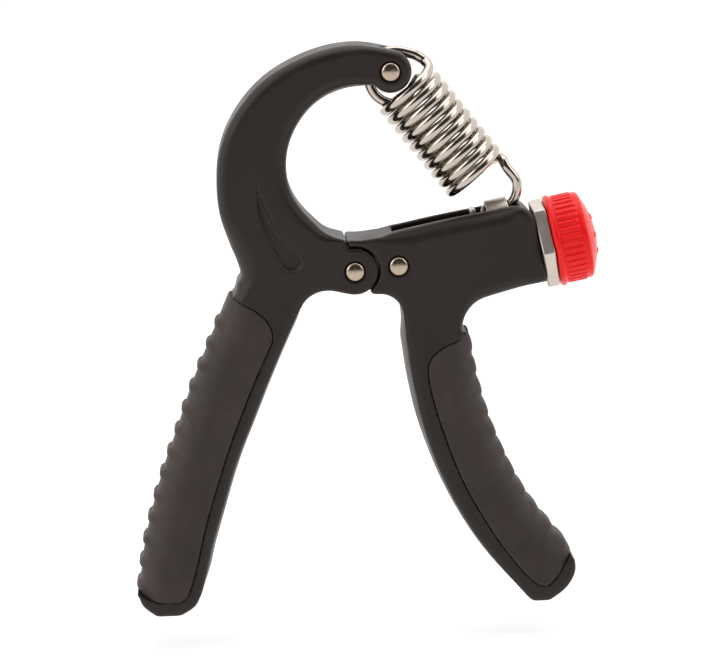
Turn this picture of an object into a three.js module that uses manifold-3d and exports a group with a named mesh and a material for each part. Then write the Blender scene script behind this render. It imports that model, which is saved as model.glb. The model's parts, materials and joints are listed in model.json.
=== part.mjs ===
// Hand grip strengthener: two moulded handles joined by a hinge pin, a tension spring between them,
// and a red knob that winds the spring's lower hook along the arm to change the effort.
// Millimetres, +Z up, X across the handles, Y through the thickness. It stands on its two handle ends.
import * as THREE from 'three';
import { mergeVertices } from 'three/addons/utils/BufferGeometryUtils.js';
import Module from 'manifold-3d';

const wasm = await Module();
wasm.setup();

// ---- driving dimensions ----
const GAP = 0.3; // space left between pieces that touch
const BODY_HALF = 11; // half the thickness of the moulded handles
const PAD_HALF = 12; // half the thickness over the grip pads
const CORE_HALF = 9.4; // half the thickness of the handle under a pad
const PAD_EDGE = 1.2; // rounding of the pads' edges

const PIVOT = [-2.1, 94.7];
const LUG_RADIUS = 6.4;
const SOCKET_RADIUS = 6.9;
const STOP_X = -3.9; // where the two handles meet above the pivot at rest
const ANCHOR = [9.3, 149]; // pin that holds the spring's upper loop
const TIP_RADIUS = 5.9;
const SECOND_RIVET = [9.9, 95.8];
const SHAFT_RADIUS = 2;
const HEAD_RADIUS = 2.5;
const HEAD_SEAT = 10.7; // height at which a rivet head sits
const HEAD_TOP = 12;
const TONGUE_HALF = 1.5;
const TONGUE_RADIUS = 4.2;
const CLEVIS_HALF = 2.2; // half width of the slot that takes the spring's loop
const CLEVIS_RADIUS = 12.3;
const RECESS_DEPTH = 0.8; // of the teardrop on the side of the left handle

const SCREW_ANGLE = THREE.MathUtils.degToRad(10.5);
const SCREW_ORIGIN = [48.7, 98.9]; // on the screw axis, at the end of the arm
const ARM_END = 0.2;
const ARM_BEVEL = 3; // taken off the arm's upper edges
const SLOT_HALF = 5.5;
const SLOT_INNER = -33.8;
const SLOT_OUTER = -2.9;
const SLOT_FLOOR = -7.4;
const SPINDLE_RADIUS = 2.5;
const JOURNAL_RADIUS = 1.9;
const WASHER_RADIUS = 8; // the thrust washer lies in a seat sunk into the arm's end
const WASHER_SEAT = -0.6;
const COLLAR_ACROSS_FLATS = 22.2;
const COLLAR_START = 0.6;
const COLLAR_END = 4;
const COLLAR_TURN = THREE.MathUtils.degToRad(37);
const KNOB_LENGTH = 12.2;
const KNOB_RIM_RADIUS = 12.8;
const KNOB_RIB_RADIUS = 12.3;
const KNOB_ROOT_RADIUS = 11.9;
const KNOB_RIBS = 36;
const INSERT_RADIUS = 5; // threaded insert moulded into the knob
const INSERT_END = 12;
const CARRIAGE = -8.6; // middle of the saddle along the screw, as set
const SADDLE_LENGTH = 6.2;
const SADDLE_WALL = 0.9;
const SADDLE_HALF = 5.2;
const SADDLE_CREST = 15.1;
const CARRIAGE_HALF = SADDLE_HALF - SADDLE_WALL - GAP;
const CARRIAGE_DEPTH = 5.7;
const NUT_END = -4.4;
const NUT_TOP = 5.6;
const PLATE_START = -16;
const PLATE_END = -14.6;
const PLATE_TOP = 13.9;

const WIRE = 1.4; // radius of the spring wire
const COIL_RADIUS = 8.45;
const COIL_PITCH = 3.2;
const COIL_TURNS = 10;
const COIL_SPLIT = 1.75; // turns that stay with the upper loop, up to the back of the coil
const SPLIT_HALF = 0.004; // in turns, half the space left at the split
const END_STEP = 0.02; // in turns, a short last step that keeps the wire's cut ends square
const COIL_START = 6.8; // from the anchor pin along the coil's axis
const COIL_OFFSET = 0.35; // the coil's axis passes this far beside the pin
const LOOP_RADIUS = 7.3;
const HOOK_RADIUS = 6.9;
const HOOK_HEIGHT = 18.2; // hook's centre above the screw axis

// ---- solids ----
function solidOf(geometry) {
  const plain = geometry.clone();
  plain.deleteAttribute('normal');
  plain.deleteAttribute('uv');
  const merged = mergeVertices(plain, 1e-4);
  return new wasm.Manifold(new wasm.Mesh({
    numProp: 3,
    vertProperties: new Float32Array(merged.attributes.position.array),
    triVerts: new Uint32Array(merged.index.array),
  }));
}

function geometryOf(solid) {
  const mesh = solid.getMesh();
  const geometry = new THREE.BufferGeometry();
  geometry.setAttribute('position', new THREE.BufferAttribute(new Float32Array(mesh.vertProperties), 3));
  geometry.setIndex(new THREE.BufferAttribute(new Uint32Array(mesh.triVerts), 1));
  geometry.computeVertexNormals();
  return geometry;
}

function cut(solid, ...tools) {
  return tools.reduce((left, tool) => left.subtract(tool), solid);
}

function join(solid, ...others) {
  return others.reduce((sum, other) => sum.add(other), solid);
}

// ---- outlines, as lists of [x, z] running counter-clockwise ----
function spline(points, divisions) {
  return new THREE.SplineCurve(points.map(([x, z]) => new THREE.Vector2(x, z)))
    .getPoints(divisions)
    .map((point) => [point.x, point.y]);
}

function arc([x, z], radius, fromDegrees, toDegrees, divisions) {
  return Array.from({ length: divisions + 1 }, (_, i) => {
    const angle = THREE.MathUtils.degToRad(fromDegrees + ((toDegrees - fromDegrees) * i) / divisions);
    return [x + radius * Math.cos(angle), z + radius * Math.sin(angle)];
  });
}

function closed(...stretches) {
  const points = stretches.flat();
  return points.filter(([x, z], i) => {
    const [nextX, nextZ] = points[(i + 1) % points.length];
    return Math.hypot(nextX - x, nextZ - z) > 0.05;
  });
}

// Moves every side of an outline outwards by distance, or inwards where it is negative.
function grow(points, distance) {
  const count = points.length;
  return points.map(([x, z], i) => {
    const [beforeX, beforeZ] = points[(i + count - 1) % count];
    const [afterX, afterZ] = points[(i + 1) % count];
    const before = new THREE.Vector2(z - beforeZ, beforeX - x).normalize();
    const after = new THREE.Vector2(afterZ - z, x - afterX).normalize();
    const middle = before.clone().add(after).normalize();
    const reach = distance / Math.max(middle.dot(after), 0.5);
    return [x + middle.x * reach, z + middle.y * reach];
  });
}

// A plate with the outline's shape, from low to high in Y, with its edges rounded by edge.
function plate(points, low, high, edge = 0) {
  const shape = new THREE.Shape(points.map(([x, z]) => new THREE.Vector2(x, z)));
  const geometry = new THREE.ExtrudeGeometry(shape, {
    depth: high - low - 2 * edge,
    bevelEnabled: edge > 0,
    bevelThickness: edge,
    bevelSize: edge,
    bevelOffset: -edge,
    bevelSegments: 2,
    steps: 1,
  });
  geometry.rotateX(Math.PI / 2);
  geometry.translate(0, high - edge, 0);
  return geometry;
}

// A round bar along Y. The profile is a list of [radius, y] that starts and ends on the axis.
function turnedAlongY([x, z], profile, sides = 24) {
  const geometry = new THREE.LatheGeometry(profile.map(([r, y]) => new THREE.Vector2(r, y)), sides);
  geometry.translate(x, 0, z);
  return geometry;
}

function barAlongY(centre, radius, low, high, sides = 24) {
  return turnedAlongY(centre, [[0, low], [radius, low], [radius, high], [0, high]], sides);
}

// The same about the local X axis, which lies along the screw. The profile is a list of [radius, x].
function turnedAlongScrew(profile, sides = 36) {
  const geometry = new THREE.LatheGeometry(profile.map(([r, u]) => new THREE.Vector2(r, u)), sides);
  geometry.rotateZ(-Math.PI / 2);
  return geometry;
}

function block(low, high) {
  const geometry = new THREE.BoxGeometry(high[0] - low[0], high[1] - low[1], high[2] - low[2]);
  geometry.translate((low[0] + high[0]) / 2, (low[1] + high[1]) / 2, (low[2] + high[2]) / 2);
  return geometry;
}

// A wire along a list of points, as a tube of round section.
function wire(points, steps) {
  const section = new THREE.Shape().absarc(0, 0, WIRE, 0, 2 * Math.PI, false);
  return new THREE.ExtrudeGeometry(section, {
    steps,
    curveSegments: 4,
    bevelEnabled: false,
    extrudePath: new THREE.CatmullRomCurve3(points, false, 'centripetal'),
  });
}

// ---- the screw's own frame: X along the screw towards the knob, Z away from the handles ----
const screwFrame = new THREE.Matrix4()
  .makeTranslation(SCREW_ORIGIN[0], 0, SCREW_ORIGIN[1])
  .multiply(new THREE.Matrix4().makeRotationY(-SCREW_ANGLE));

function onArm([u, v]) {
  const point = new THREE.Vector3(u, 0, v).applyMatrix4(screwFrame);
  return [point.x, point.z];
}

function armTool(geometry) {
  return solidOf(geometry.clone().applyMatrix4(screwFrame));
}

// ---- outlines of the handles and the pads ----
const leftHandleOutline = closed(
  arc(PIVOT, LUG_RADIUS, -97, 106, 26),
  [[STOP_X - GAP, 101.4]],
  spline([[STOP_X - GAP, 103.4], [-9.2, 105.2], [-15, 110], [-19, 117], [-19.8, 125], [-17.7, 132.4],
    [-13.5, 138.6], [-8.4, 142.5], [-2.8, 144.5], [2.2, 145]], 34),
  arc(ANCHOR, TIP_RADIUS, -140, 48, 20),
  spline([[12, 154.2], [1.3, 156.4], [-8.9, 155.4], [-19.2, 151.5], [-27, 146.2], [-33.2, 139],
    [-37.4, 130.6], [-39, 121.5], [-38.6, 112.2], [-36.3, 103.9], [-34, 97.6], [-33.6, 92.8],
    [-38, 84], [-45, 67.5], [-57, 33.5], [-63.4, 14]], 60),
  spline([[-65.2, 7.6], [-64.2, 3.4], [-60.6, 0.3]], 6),
  [[-60, 0], [-54, 0]],
  spline([[-53.4, 0.1], [-49.4, 2.6], [-47.4, 6.6]], 6),
  spline([[-44.4, 18.8], [-40.8, 30.2], [-36.6, 42.8], [-31, 56], [-26.5, 66.4], [-21.2, 77.8],
    [-16.8, 86], [-13.4, 88.8], [-9.5, 89.7], [-5.2, 88.8]], 36),
);

const rightHandleOutline = closed(
  arc(PIVOT, SOCKET_RADIUS, 105, -58, 24),
  spline([[3, 88.2], [6, 88], [8.8, 86.4], [10.5, 83.7], [11.2, 79], [11.8, 74], [13.3, 62.6], [16.4, 47.9],
    [20.9, 35.1], [27.5, 22.1], [34.8, 11.5], [42.4, 2.2]], 46),
  spline([[43.4, 1], [44.6, 0.1]], 1),
  [[45.2, 0], [48.8, 0]],
  spline([[49.4, 0.1], [54, 3.4], [56.6, 7.8], [56.6, 11.4]], 8),
  spline([[55, 13.8], [50, 19.6], [43.2, 29.2], [38, 39.4], [33.8, 50.6], [30.7, 61.5], [28.8, 69.2],
    [27.2, 75.6], [27, 78.6], [28.4, 82.2], [31.8, 85.2], [37.8, 87]], 38),
  [onArm([-5, -9.2]), onArm([ARM_END, -9.2])],
  spline([[ARM_END, 4], [ARM_END - 0.5, 8], [-1.9, 10.8], [-5.4, 12.6], [-16, 13.1], [-26, 13.3],
    [-38, 13.2]].map(onArm), 18),
  spline([[5.5, 103.9], [0, 103.2], [STOP_X, 103.4]], 5),
);

// The core of each handle, which its pad wraps round.
const leftCoreOutline = closed(
  spline([[-35.5, 88], [-43.1, 66.8], [-55.2, 32.8], [-62.3, 10.8], [-61.4, 4.4]], 16),
  [[-58, 1], [-52, 1.2], [-48.5, 5]],
  spline([[-45.2, 18.6], [-37, 42.5], [-27, 66.1], [-20, 84]], 12),
  [[-23, 92], [-34.2, 93]],
);
const rightCoreOutline = closed(
  spline([[13.3, 82], [15.3, 62.6], [18.3, 48.3], [22.5, 35.8], [28.8, 23], [36, 12.6], [44, 2.6]], 18),
  [[46, 1.2], [49.5, 1.3], [52.6, 5]],
  spline([[53.3, 12.9], [49.2, 18.6], [42.2, 28.2], [36.9, 38.6], [32.6, 49.9], [29.5, 60.9], [27.2, 72]], 18),
  [[26, 80], [20, 87]],
);

const leftPadFront = spline([[-50.6, 8.1], [-46.1, 21.3], [-40.9, 37.7], [-34.3, 57.3], [-26.9, 74]], 16)
  .concat(spline([[-25.7, 78.2], [-27.2, 81.8], [-30.6, 84.2], [-36.8, 89]], 8));
const rightPadFront = spline([[28.8, 76.9], [21.5, 72.4], [18, 68.8], [17.3, 65.1]], 8)
  .concat(spline([[18.6, 57], [21.9, 45.5], [26.6, 33.4], [33, 21.1], [39.6, 12], [44.5, 6]], 18));

// The outer side of a pad: a smooth line with ribs standing on it at an even pitch.
function ribbedSide(points, ribs, height) {
  const line = new THREE.SplineCurve(points.map(([x, z]) => new THREE.Vector2(x, z)));
  const stepsPerRib = 6;
  return Array.from({ length: ribs * stepsPerRib + 1 }, (_, i) => {
    const t = i / (ribs * stepsPerRib);
    const point = line.getPointAt(t);
    const tangent = line.getTangentAt(t);
    const lift = [0, 0.15, 0.8, 1, 0.8, 0.15][i % stepsPerRib] * height;
    return [point.x + tangent.y * lift, point.y - tangent.x * lift];
  });
}

const LEFT_RIBS = 13;
const RIGHT_RIBS = 11;
const RIB_HEIGHT = 0.9;
const leftPadOutline = closed(
  leftPadFront,
  ribbedSide([[-38, 87.4], [-46, 67.8], [-58, 33.8], [-64.9, 11.5]], LEFT_RIBS, RIB_HEIGHT),
  spline([[-65.8, 7.6], [-64.2, 5], [-58, 3.2], [-53, 3.9]], 8),
);
const rightPadOutline = closed(
  rightPadFront,
  spline([[46.4, 4.6], [48.6, 4.6], [51.6, 8], [55.6, 13]], 8),
  ribbedSide([[55, 14.4], [50.9, 20], [44, 29.4], [38.9, 39.5], [34.7, 50.6], [31.6, 61.4], [29.4, 72.4]],
    RIGHT_RIBS, RIB_HEIGHT),
);

const teardropOutline = closed(
  arc([-19.3, 98.6], 3.2, 215, 400, 12),
  spline([[-18.6, 103.6], [-23.6, 110.4], [-28.2, 120]], 8),
  spline([[-28.7, 115], [-26.7, 105.3], [-23, 98.2]], 8),
);

// ---- pieces of the fixed side ----
const material = (colour, roughness, metalness) => new THREE.MeshStandardMaterial({
  color: colour, roughness, metalness,
});
const moulded = material('#37302d', 0.55, 0);
const rubber = material('#413a36', 0.8, 0);
const nickel = material('#c9bda9', 0.25, 1);
const chrome = material('#cfcdc9', 0.12, 1);
const steel = material('#a7a39c', 0.35, 1);
const redPlastic = material('#d8121c', 0.25, 0);
const bronze = material('#a5834c', 0.4, 1);

function named(name, geometry, look) {
  const mesh = new THREE.Mesh(geometry, look);
  mesh.name = name;
  return mesh;
}

function rivetSeat(centre, radius) {
  const hole = solidOf(barAlongY(centre, radius + GAP, -PAD_HALF - 1, PAD_HALF + 1));
  const front = solidOf(barAlongY(centre, HEAD_RADIUS + GAP, -PAD_HALF - 1, -HEAD_SEAT + GAP));
  const back = solidOf(barAlongY(centre, HEAD_RADIUS + GAP, HEAD_SEAT - GAP, PAD_HALF + 1));
  return join(hole, front, back);
}

function rivet(centre, radius) {
  const half = [[radius, HEAD_SEAT], [HEAD_RADIUS, HEAD_SEAT], [HEAD_RADIUS, HEAD_SEAT + 0.5],
    [HEAD_RADIUS * 0.75, HEAD_TOP - 0.25], [HEAD_RADIUS * 0.4, HEAD_TOP], [0, HEAD_TOP]];
  const mirrored = half.map(([r, y]) => [r, -y]).reverse();
  return turnedAlongY(centre, [...mirrored, ...half]);
}

function handle(outline, padOutline, coreOutline) {
  const whole = solidOf(plate(outline, -BODY_HALF, BODY_HALF));
  const seat = solidOf(plate(grow(padOutline, GAP), -PAD_HALF - 1, PAD_HALF + 1));
  const core = solidOf(plate(coreOutline, -CORE_HALF, CORE_HALF));
  return join(cut(whole, seat), core);
}

function pad(padOutline, coreOutline) {
  const envelope = solidOf(plate(padOutline, -PAD_HALF, PAD_HALF, PAD_EDGE));
  const core = solidOf(plate(grow(coreOutline, GAP), -CORE_HALF - GAP, CORE_HALF + GAP));
  return geometryOf(cut(envelope, core));
}

function leftHandle() {
  const hingeSlot = solidOf(barAlongY(PIVOT, 7.2, -TONGUE_HALF - GAP, TONGUE_HALF + GAP, 48));
  const clevis = solidOf(barAlongY(ANCHOR, CLEVIS_RADIUS, -CLEVIS_HALF, CLEVIS_HALF, 48));
  const recesses = [-1, 1].map((side) => solidOf(plate(
    teardropOutline,
    side < 0 ? -BODY_HALF - 1 : BODY_HALF - RECESS_DEPTH,
    side < 0 ? -BODY_HALF + RECESS_DEPTH : BODY_HALF + 1,
  )));
  return geometryOf(cut(
    handle(leftHandleOutline, leftPadOutline, leftCoreOutline),
    hingeSlot,
    clevis,
    rivetSeat(PIVOT, SHAFT_RADIUS),
    rivetSeat(ANCHOR, 1.5),
    ...recesses,
  ));
}

const bushHalf = CLEVIS_HALF - GAP;
const anchorBush = turnedAlongY(ANCHOR, [[1.8, -bushHalf], [2.7, -bushHalf], [2.7, bushHalf],
  [1.8, bushHalf], [1.8, -bushHalf]]);

// ---- pieces of the moving side ----
const tongueOutline = closed(
  arc(PIVOT, TONGUE_RADIUS + 1.4, 95, 265, 18),
  arc(SECOND_RIVET, TONGUE_RADIUS, -85, 95, 18),
);

function tongue() {
  const bar = solidOf(plate(tongueOutline, -TONGUE_HALF, TONGUE_HALF));
  const holes = [PIVOT, SECOND_RIVET].map((centre) => solidOf(
    barAlongY(centre, SHAFT_RADIUS + GAP, -TONGUE_HALF - 1, TONGUE_HALF + 1)));
  return geometryOf(cut(bar, ...holes));
}

// A square bar turned on its corner, which takes the sharp upper edge off one side of the arm.
function armEdgeTool(side) {
  const bar = new THREE.BoxGeometry(60, ARM_BEVEL * Math.SQRT2, ARM_BEVEL * Math.SQRT2);
  bar.rotateX(Math.PI / 4);
  bar.translate(-20, side * BODY_HALF, 14);
  return armTool(bar);
}

function rightHandle() {
  const pocket = solidOf(plate(grow(tongueOutline, GAP), -TONGUE_HALF - GAP, TONGUE_HALF + GAP));
  const slot = armTool(block([SLOT_INNER, -SLOT_HALF, SLOT_FLOOR], [SLOT_OUTER, SLOT_HALF, 20]));
  const shallow = armTool(block([SLOT_INNER - 3, -SLOT_HALF, 10.2], [SLOT_INNER + 1, SLOT_HALF, 20]));
  const roundEnd = new THREE.CylinderGeometry(SLOT_HALF, SLOT_HALF, 10, 32);
  roundEnd.rotateX(Math.PI / 2);
  roundEnd.translate(SLOT_INNER - 3, 0, 15.2);
  const bore = armTool(turnedAlongScrew([[0, SLOT_OUTER - 1], [3.1, SLOT_OUTER - 1], [3.1, WASHER_SEAT],
    [WASHER_RADIUS + GAP, WASHER_SEAT], [WASHER_RADIUS + GAP, 1], [0, 1]]));
  return geometryOf(cut(
    handle(rightHandleOutline, rightPadOutline, rightCoreOutline),
    pocket,
    slot,
    shallow,
    armTool(roundEnd),
    armEdgeTool(-1),
    armEdgeTool(1),
    bore,
    rivetSeat(SECOND_RIVET, SHAFT_RADIUS),
  ));
}

// ---- pieces on the screw, in the screw's own frame ----
const spindle = turnedAlongScrew([[0, SLOT_INNER + GAP], [JOURNAL_RADIUS, SLOT_INNER + GAP],
  [JOURNAL_RADIUS, -31.3], [SPINDLE_RADIUS, -30.7], [SPINDLE_RADIUS, 11.5], [0, 11.5]], 32);

function ring(inner, outer, low, high, sides = 36) {
  return turnedAlongScrew([[inner, low], [outer, low], [outer, high], [inner, high], [inner, low]], sides);
}

// A flat outline across the screw, given as [y, z] and extruded along the screw from low to high.
function acrossScrew(points, low, high) {
  const shape = new THREE.Shape(points.map(([y, z]) => new THREE.Vector2(y, z)));
  const geometry = new THREE.ExtrudeGeometry(shape, { depth: high - low, bevelEnabled: false });
  geometry.rotateY(Math.PI / 2);
  geometry.rotateX(Math.PI / 2);
  geometry.translate(low, 0, 0);
  return geometry;
}

function collar() {
  const corner = COLLAR_ACROSS_FLATS / 2 / Math.cos(Math.PI / 6);
  const hexagon = Array.from({ length: 6 }, (_, i) => {
    const angle = COLLAR_TURN + Math.PI / 2 + (i * Math.PI) / 3;
    return [corner * Math.cos(angle), corner * Math.sin(angle)];
  });
  const chamfer = 0.6;
  const barrel = turnedAlongScrew([[0, COLLAR_START], [corner - chamfer, COLLAR_START],
    [corner, COLLAR_START + chamfer], [corner, COLLAR_END - chamfer], [corner - chamfer, COLLAR_END],
    [0, COLLAR_END]]);
  const bore = turnedAlongScrew([[0, -1], [SPINDLE_RADIUS + GAP, -1],
    [SPINDLE_RADIUS + GAP, COLLAR_END + 1], [0, COLLAR_END + 1]]);
  const blank = solidOf(acrossScrew(hexagon, COLLAR_START, COLLAR_END)).intersect(solidOf(barrel));
  return geometryOf(cut(blank, solidOf(bore)));
}

function knob() {
  const start = COLLAR_END + GAP;
  const end = start + KNOB_LENGTH;
  const domeStart = end - 2.9;
  const ribbed = Array.from({ length: KNOB_RIBS * 4 }, (_, i) => {
    const radius = i % 4 < 2 ? KNOB_RIB_RADIUS : KNOB_ROOT_RADIUS;
    const angle = (2 * Math.PI * i) / (KNOB_RIBS * 4);
    return [radius * Math.cos(angle), radius * Math.sin(angle)];
  });
  const dome = [[KNOB_ROOT_RADIUS, domeStart], [11.3, end - 1.9], [9.9, end - 1.1], [7.6, end - 0.5],
    [4, end - 0.1], [0, end]];
  const core = turnedAlongScrew([[0, start], [KNOB_RIM_RADIUS - 0.5, start], [KNOB_RIM_RADIUS, start + 0.6],
    [KNOB_RIM_RADIUS, start + 1.4], [KNOB_RIM_RADIUS - 0.5, start + 2], [KNOB_ROOT_RADIUS, start + 2.1],
    ...dome]);
  const bore = turnedAlongScrew([[0, start - 1], [INSERT_RADIUS + GAP, start - 1],
    [INSERT_RADIUS + GAP, INSERT_END + GAP], [0, INSERT_END + GAP]], 32);
  const grips = solidOf(acrossScrew(ribbed, start + 1, domeStart));
  return geometryOf(cut(join(solidOf(core), grips), solidOf(bore)));
}

// A block with a clearance hole for the spindle.
function drilled(low, high) {
  const bore = turnedAlongScrew([[0, low[0] - 1], [SPINDLE_RADIUS + GAP, low[0] - 1],
    [SPINDLE_RADIUS + GAP, high[0] + 1], [0, high[0] + 1]], 32);
  return geometryOf(cut(solidOf(block(low, high)), solidOf(bore)));
}

function carriageNut() {
  return drilled([PLATE_END + GAP, -CARRIAGE_HALF, -CARRIAGE_DEPTH], [NUT_END, CARRIAGE_HALF, NUT_TOP]);
}

function guidePlate() {
  return drilled([PLATE_START, -CARRIAGE_HALF, -CARRIAGE_DEPTH], [PLATE_END, CARRIAGE_HALF, PLATE_TOP]);
}

// A band bent round the nut, arched over the top so that the spring's hook passes under its crest.
function saddle() {
  const low = -CARRIAGE_DEPTH - GAP - SADDLE_WALL;
  const springing = SADDLE_CREST - SADDLE_HALF;
  const band = (shrink) => [
    ...arc([0, springing], SADDLE_HALF - shrink, 0, 180, 16),
    [-SADDLE_HALF + shrink, low + shrink],
    [SADDLE_HALF - shrink, low + shrink],
  ];
  const start = CARRIAGE - SADDLE_LENGTH / 2;
  const end = CARRIAGE + SADDLE_LENGTH / 2;
  const outer = solidOf(acrossScrew(band(0), start, end));
  return geometryOf(cut(outer, solidOf(acrossScrew(band(SADDLE_WALL), start - 1, end + 1))));
}

// ---- the spring ----
const hookCentre = onArm([CARRIAGE, HOOK_HEIGHT]);
const saddlePoint = onArm([CARRIAGE, SADDLE_CREST - SADDLE_WALL / 2]);
const springAxis = new THREE.Vector3(saddlePoint[0] - ANCHOR[0], 0, saddlePoint[1] - ANCHOR[1]).normalize();
const outward = new THREE.Vector3(-springAxis.z, 0, springAxis.x); // towards the knob's side of the coil
const front = new THREE.Vector3(0, -1, 0);
const anchorPoint = new THREE.Vector3(ANCHOR[0], 0, ANCHOR[1]);

function onSpring(along, out, forward = 0) {
  return anchorPoint.clone()
    .addScaledVector(springAxis, along)
    .addScaledVector(outward, out)
    .addScaledVector(front, forward);
}

// Right-handed coil: turn 0 is on the outward side, and a quarter turn later it is at the front.
function atTurn(turn) {
  const theta = 2 * Math.PI * turn;
  return onSpring(
    COIL_START + COIL_PITCH * turn,
    COIL_OFFSET + COIL_RADIUS * Math.cos(theta),
    COIL_RADIUS * Math.sin(theta),
  );
}

function coil(fromTurn, toTurn, pointsPerTurn) {
  const count = Math.round((toTurn - fromTurn) * pointsPerTurn);
  return Array.from({ length: count + 1 }, (_, i) => (
    atTurn(fromTurn + ((toTurn - fromTurn) * i) / count)));
}

function circleInPlane([x, z], radius, fromDegrees, toDegrees, divisions) {
  return arc([x, z], radius, fromDegrees, toDegrees, divisions)
    .map(([px, pz]) => new THREE.Vector3(px, 0, pz));
}

const loopCentre = onSpring(2.9, 0);

function springUpperTurns() {
  const points = [
    onSpring(6.9, 5.7),
    onSpring(8.1, 2.1),
    ...circleInPlane([loopCentre.x, loopCentre.z], LOOP_RADIUS, 284, 80, 12),
    onSpring(1.6, 8.1),
    onSpring(4.6, 9.1, 0.3),
    onSpring(6.3, 8.9, 2.4),
    ...coil(0.11, COIL_SPLIT - END_STEP, 12),
    atTurn(COIL_SPLIT - SPLIT_HALF),
  ];
  return wire(points, 66);
}

function springCoil() {
  const points = [
    atTurn(COIL_SPLIT + SPLIT_HALF),
    ...coil(COIL_SPLIT + END_STEP, COIL_TURNS - 0.12, 12),
    onSpring(COIL_START + COIL_PITCH * COIL_TURNS + 0.3, COIL_OFFSET + 8.3, -2.2),
  ];
  return wire(points, 150);
}

function lowerHook() {
  const start = COIL_START + COIL_PITCH * COIL_TURNS;
  const points = [
    onSpring(start + 1, COIL_OFFSET + 8.2, -1),
    onSpring(start + 2.2, COIL_OFFSET + 8),
    ...circleInPlane(hookCentre, HOOK_RADIUS, 18, -118, 12),
  ];
  return wire(points, 28);
}

// ---- assembly ----
const grip = new THREE.Group();
grip.add(named('left_handle', leftHandle(), moulded));
grip.add(named('left_grip_pad', pad(leftPadOutline, leftCoreOutline), rubber));
grip.add(named('right_handle', rightHandle(), moulded));
grip.add(named('right_grip_pad', pad(rightPadOutline, rightCoreOutline), rubber));
grip.add(named('hinge_tongue', tongue(), steel));
grip.add(named('pivot_rivet', rivet(PIVOT, SHAFT_RADIUS), nickel));
grip.add(named('tongue_rivet', rivet(SECOND_RIVET, SHAFT_RADIUS), nickel));
grip.add(named('spring_anchor_pin', rivet(ANCHOR, 1.5), nickel));
grip.add(named('anchor_bush', anchorBush, bronze));
grip.add(named('spring_upper_turns', springUpperTurns(), chrome));
grip.add(named('spring_coil', springCoil(), chrome));
grip.add(named('spring_lower_hook', lowerHook(), chrome));

const onScrew = new THREE.Group();
onScrew.position.set(SCREW_ORIGIN[0], 0, SCREW_ORIGIN[1]);
onScrew.rotation.y = -SCREW_ANGLE;
onScrew.add(named('adjusting_spindle', spindle, steel));
onScrew.add(named('spindle_end_bush', ring(JOURNAL_RADIUS + GAP, 5.1, SLOT_INNER + GAP, -31.6), bronze));
onScrew.add(named('thrust_washer', ring(SPINDLE_RADIUS + GAP, WASHER_RADIUS,
  WASHER_SEAT + GAP, COLLAR_START - GAP), steel));
onScrew.add(named('hex_collar', collar(), chrome));
onScrew.add(named('adjusting_knob', knob(), redPlastic));
onScrew.add(named('knob_insert', ring(SPINDLE_RADIUS + GAP, INSERT_RADIUS, COLLAR_END + GAP, INSERT_END),
  bronze));
onScrew.add(named('carriage_nut', carriageNut(), steel));
onScrew.add(named('guide_plate', guidePlate(), chrome));
onScrew.add(named('hook_saddle', saddle(), chrome));
grip.add(onScrew);

export default grip;
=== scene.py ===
"""Hand grip strengthener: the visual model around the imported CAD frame.

Shapes are worked out in millimetres as signed distance fields or swept meshes, and turned into metres
when they become Blender meshes. X is across the handles, Y through the thickness, Z up.
"""
import json
import math

import bpy
import numpy as np
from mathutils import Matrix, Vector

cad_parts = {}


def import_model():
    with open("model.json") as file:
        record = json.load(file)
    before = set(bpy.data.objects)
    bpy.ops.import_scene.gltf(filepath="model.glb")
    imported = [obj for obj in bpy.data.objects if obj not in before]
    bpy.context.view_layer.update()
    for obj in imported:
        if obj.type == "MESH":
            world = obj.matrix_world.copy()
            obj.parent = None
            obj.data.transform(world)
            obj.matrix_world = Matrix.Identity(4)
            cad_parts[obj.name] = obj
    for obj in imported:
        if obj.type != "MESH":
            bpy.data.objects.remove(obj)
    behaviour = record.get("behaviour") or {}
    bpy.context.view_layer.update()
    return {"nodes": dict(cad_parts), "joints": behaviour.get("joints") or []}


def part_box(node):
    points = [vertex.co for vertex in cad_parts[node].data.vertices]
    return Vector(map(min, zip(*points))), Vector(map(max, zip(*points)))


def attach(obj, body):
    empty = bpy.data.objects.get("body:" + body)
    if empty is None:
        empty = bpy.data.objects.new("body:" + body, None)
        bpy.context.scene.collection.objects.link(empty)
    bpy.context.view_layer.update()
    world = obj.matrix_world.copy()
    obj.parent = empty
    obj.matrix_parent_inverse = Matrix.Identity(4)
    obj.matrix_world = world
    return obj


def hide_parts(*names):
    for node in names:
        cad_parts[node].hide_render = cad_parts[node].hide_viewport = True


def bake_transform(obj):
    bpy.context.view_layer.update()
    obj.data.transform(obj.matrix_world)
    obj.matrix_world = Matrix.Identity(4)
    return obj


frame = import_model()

import openvdb
from mathutils import Matrix, Vector

MM = 0.001

# ---- driving dimensions, in mm; the same as the CAD's where it has them ----
BODY_HALF = 11.0
PAD_HALF = 12.0
CORE_HALF = 9.4
CORE_EDGE = 6.0
SEAM = 0.03  # gap between a pad and the handle round it
HANDLE_STEP = 0.5  # size of the sampling grid
PAD_STEP = 0.4

LEG_EDGE = 1.4  # rounding of the legs' rims
C_ARM_EDGE = 3.2
ARM_EDGE = 4.2
HINGE_EDGE = 0.6
SHOULDER_EDGE = 5.0

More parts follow.
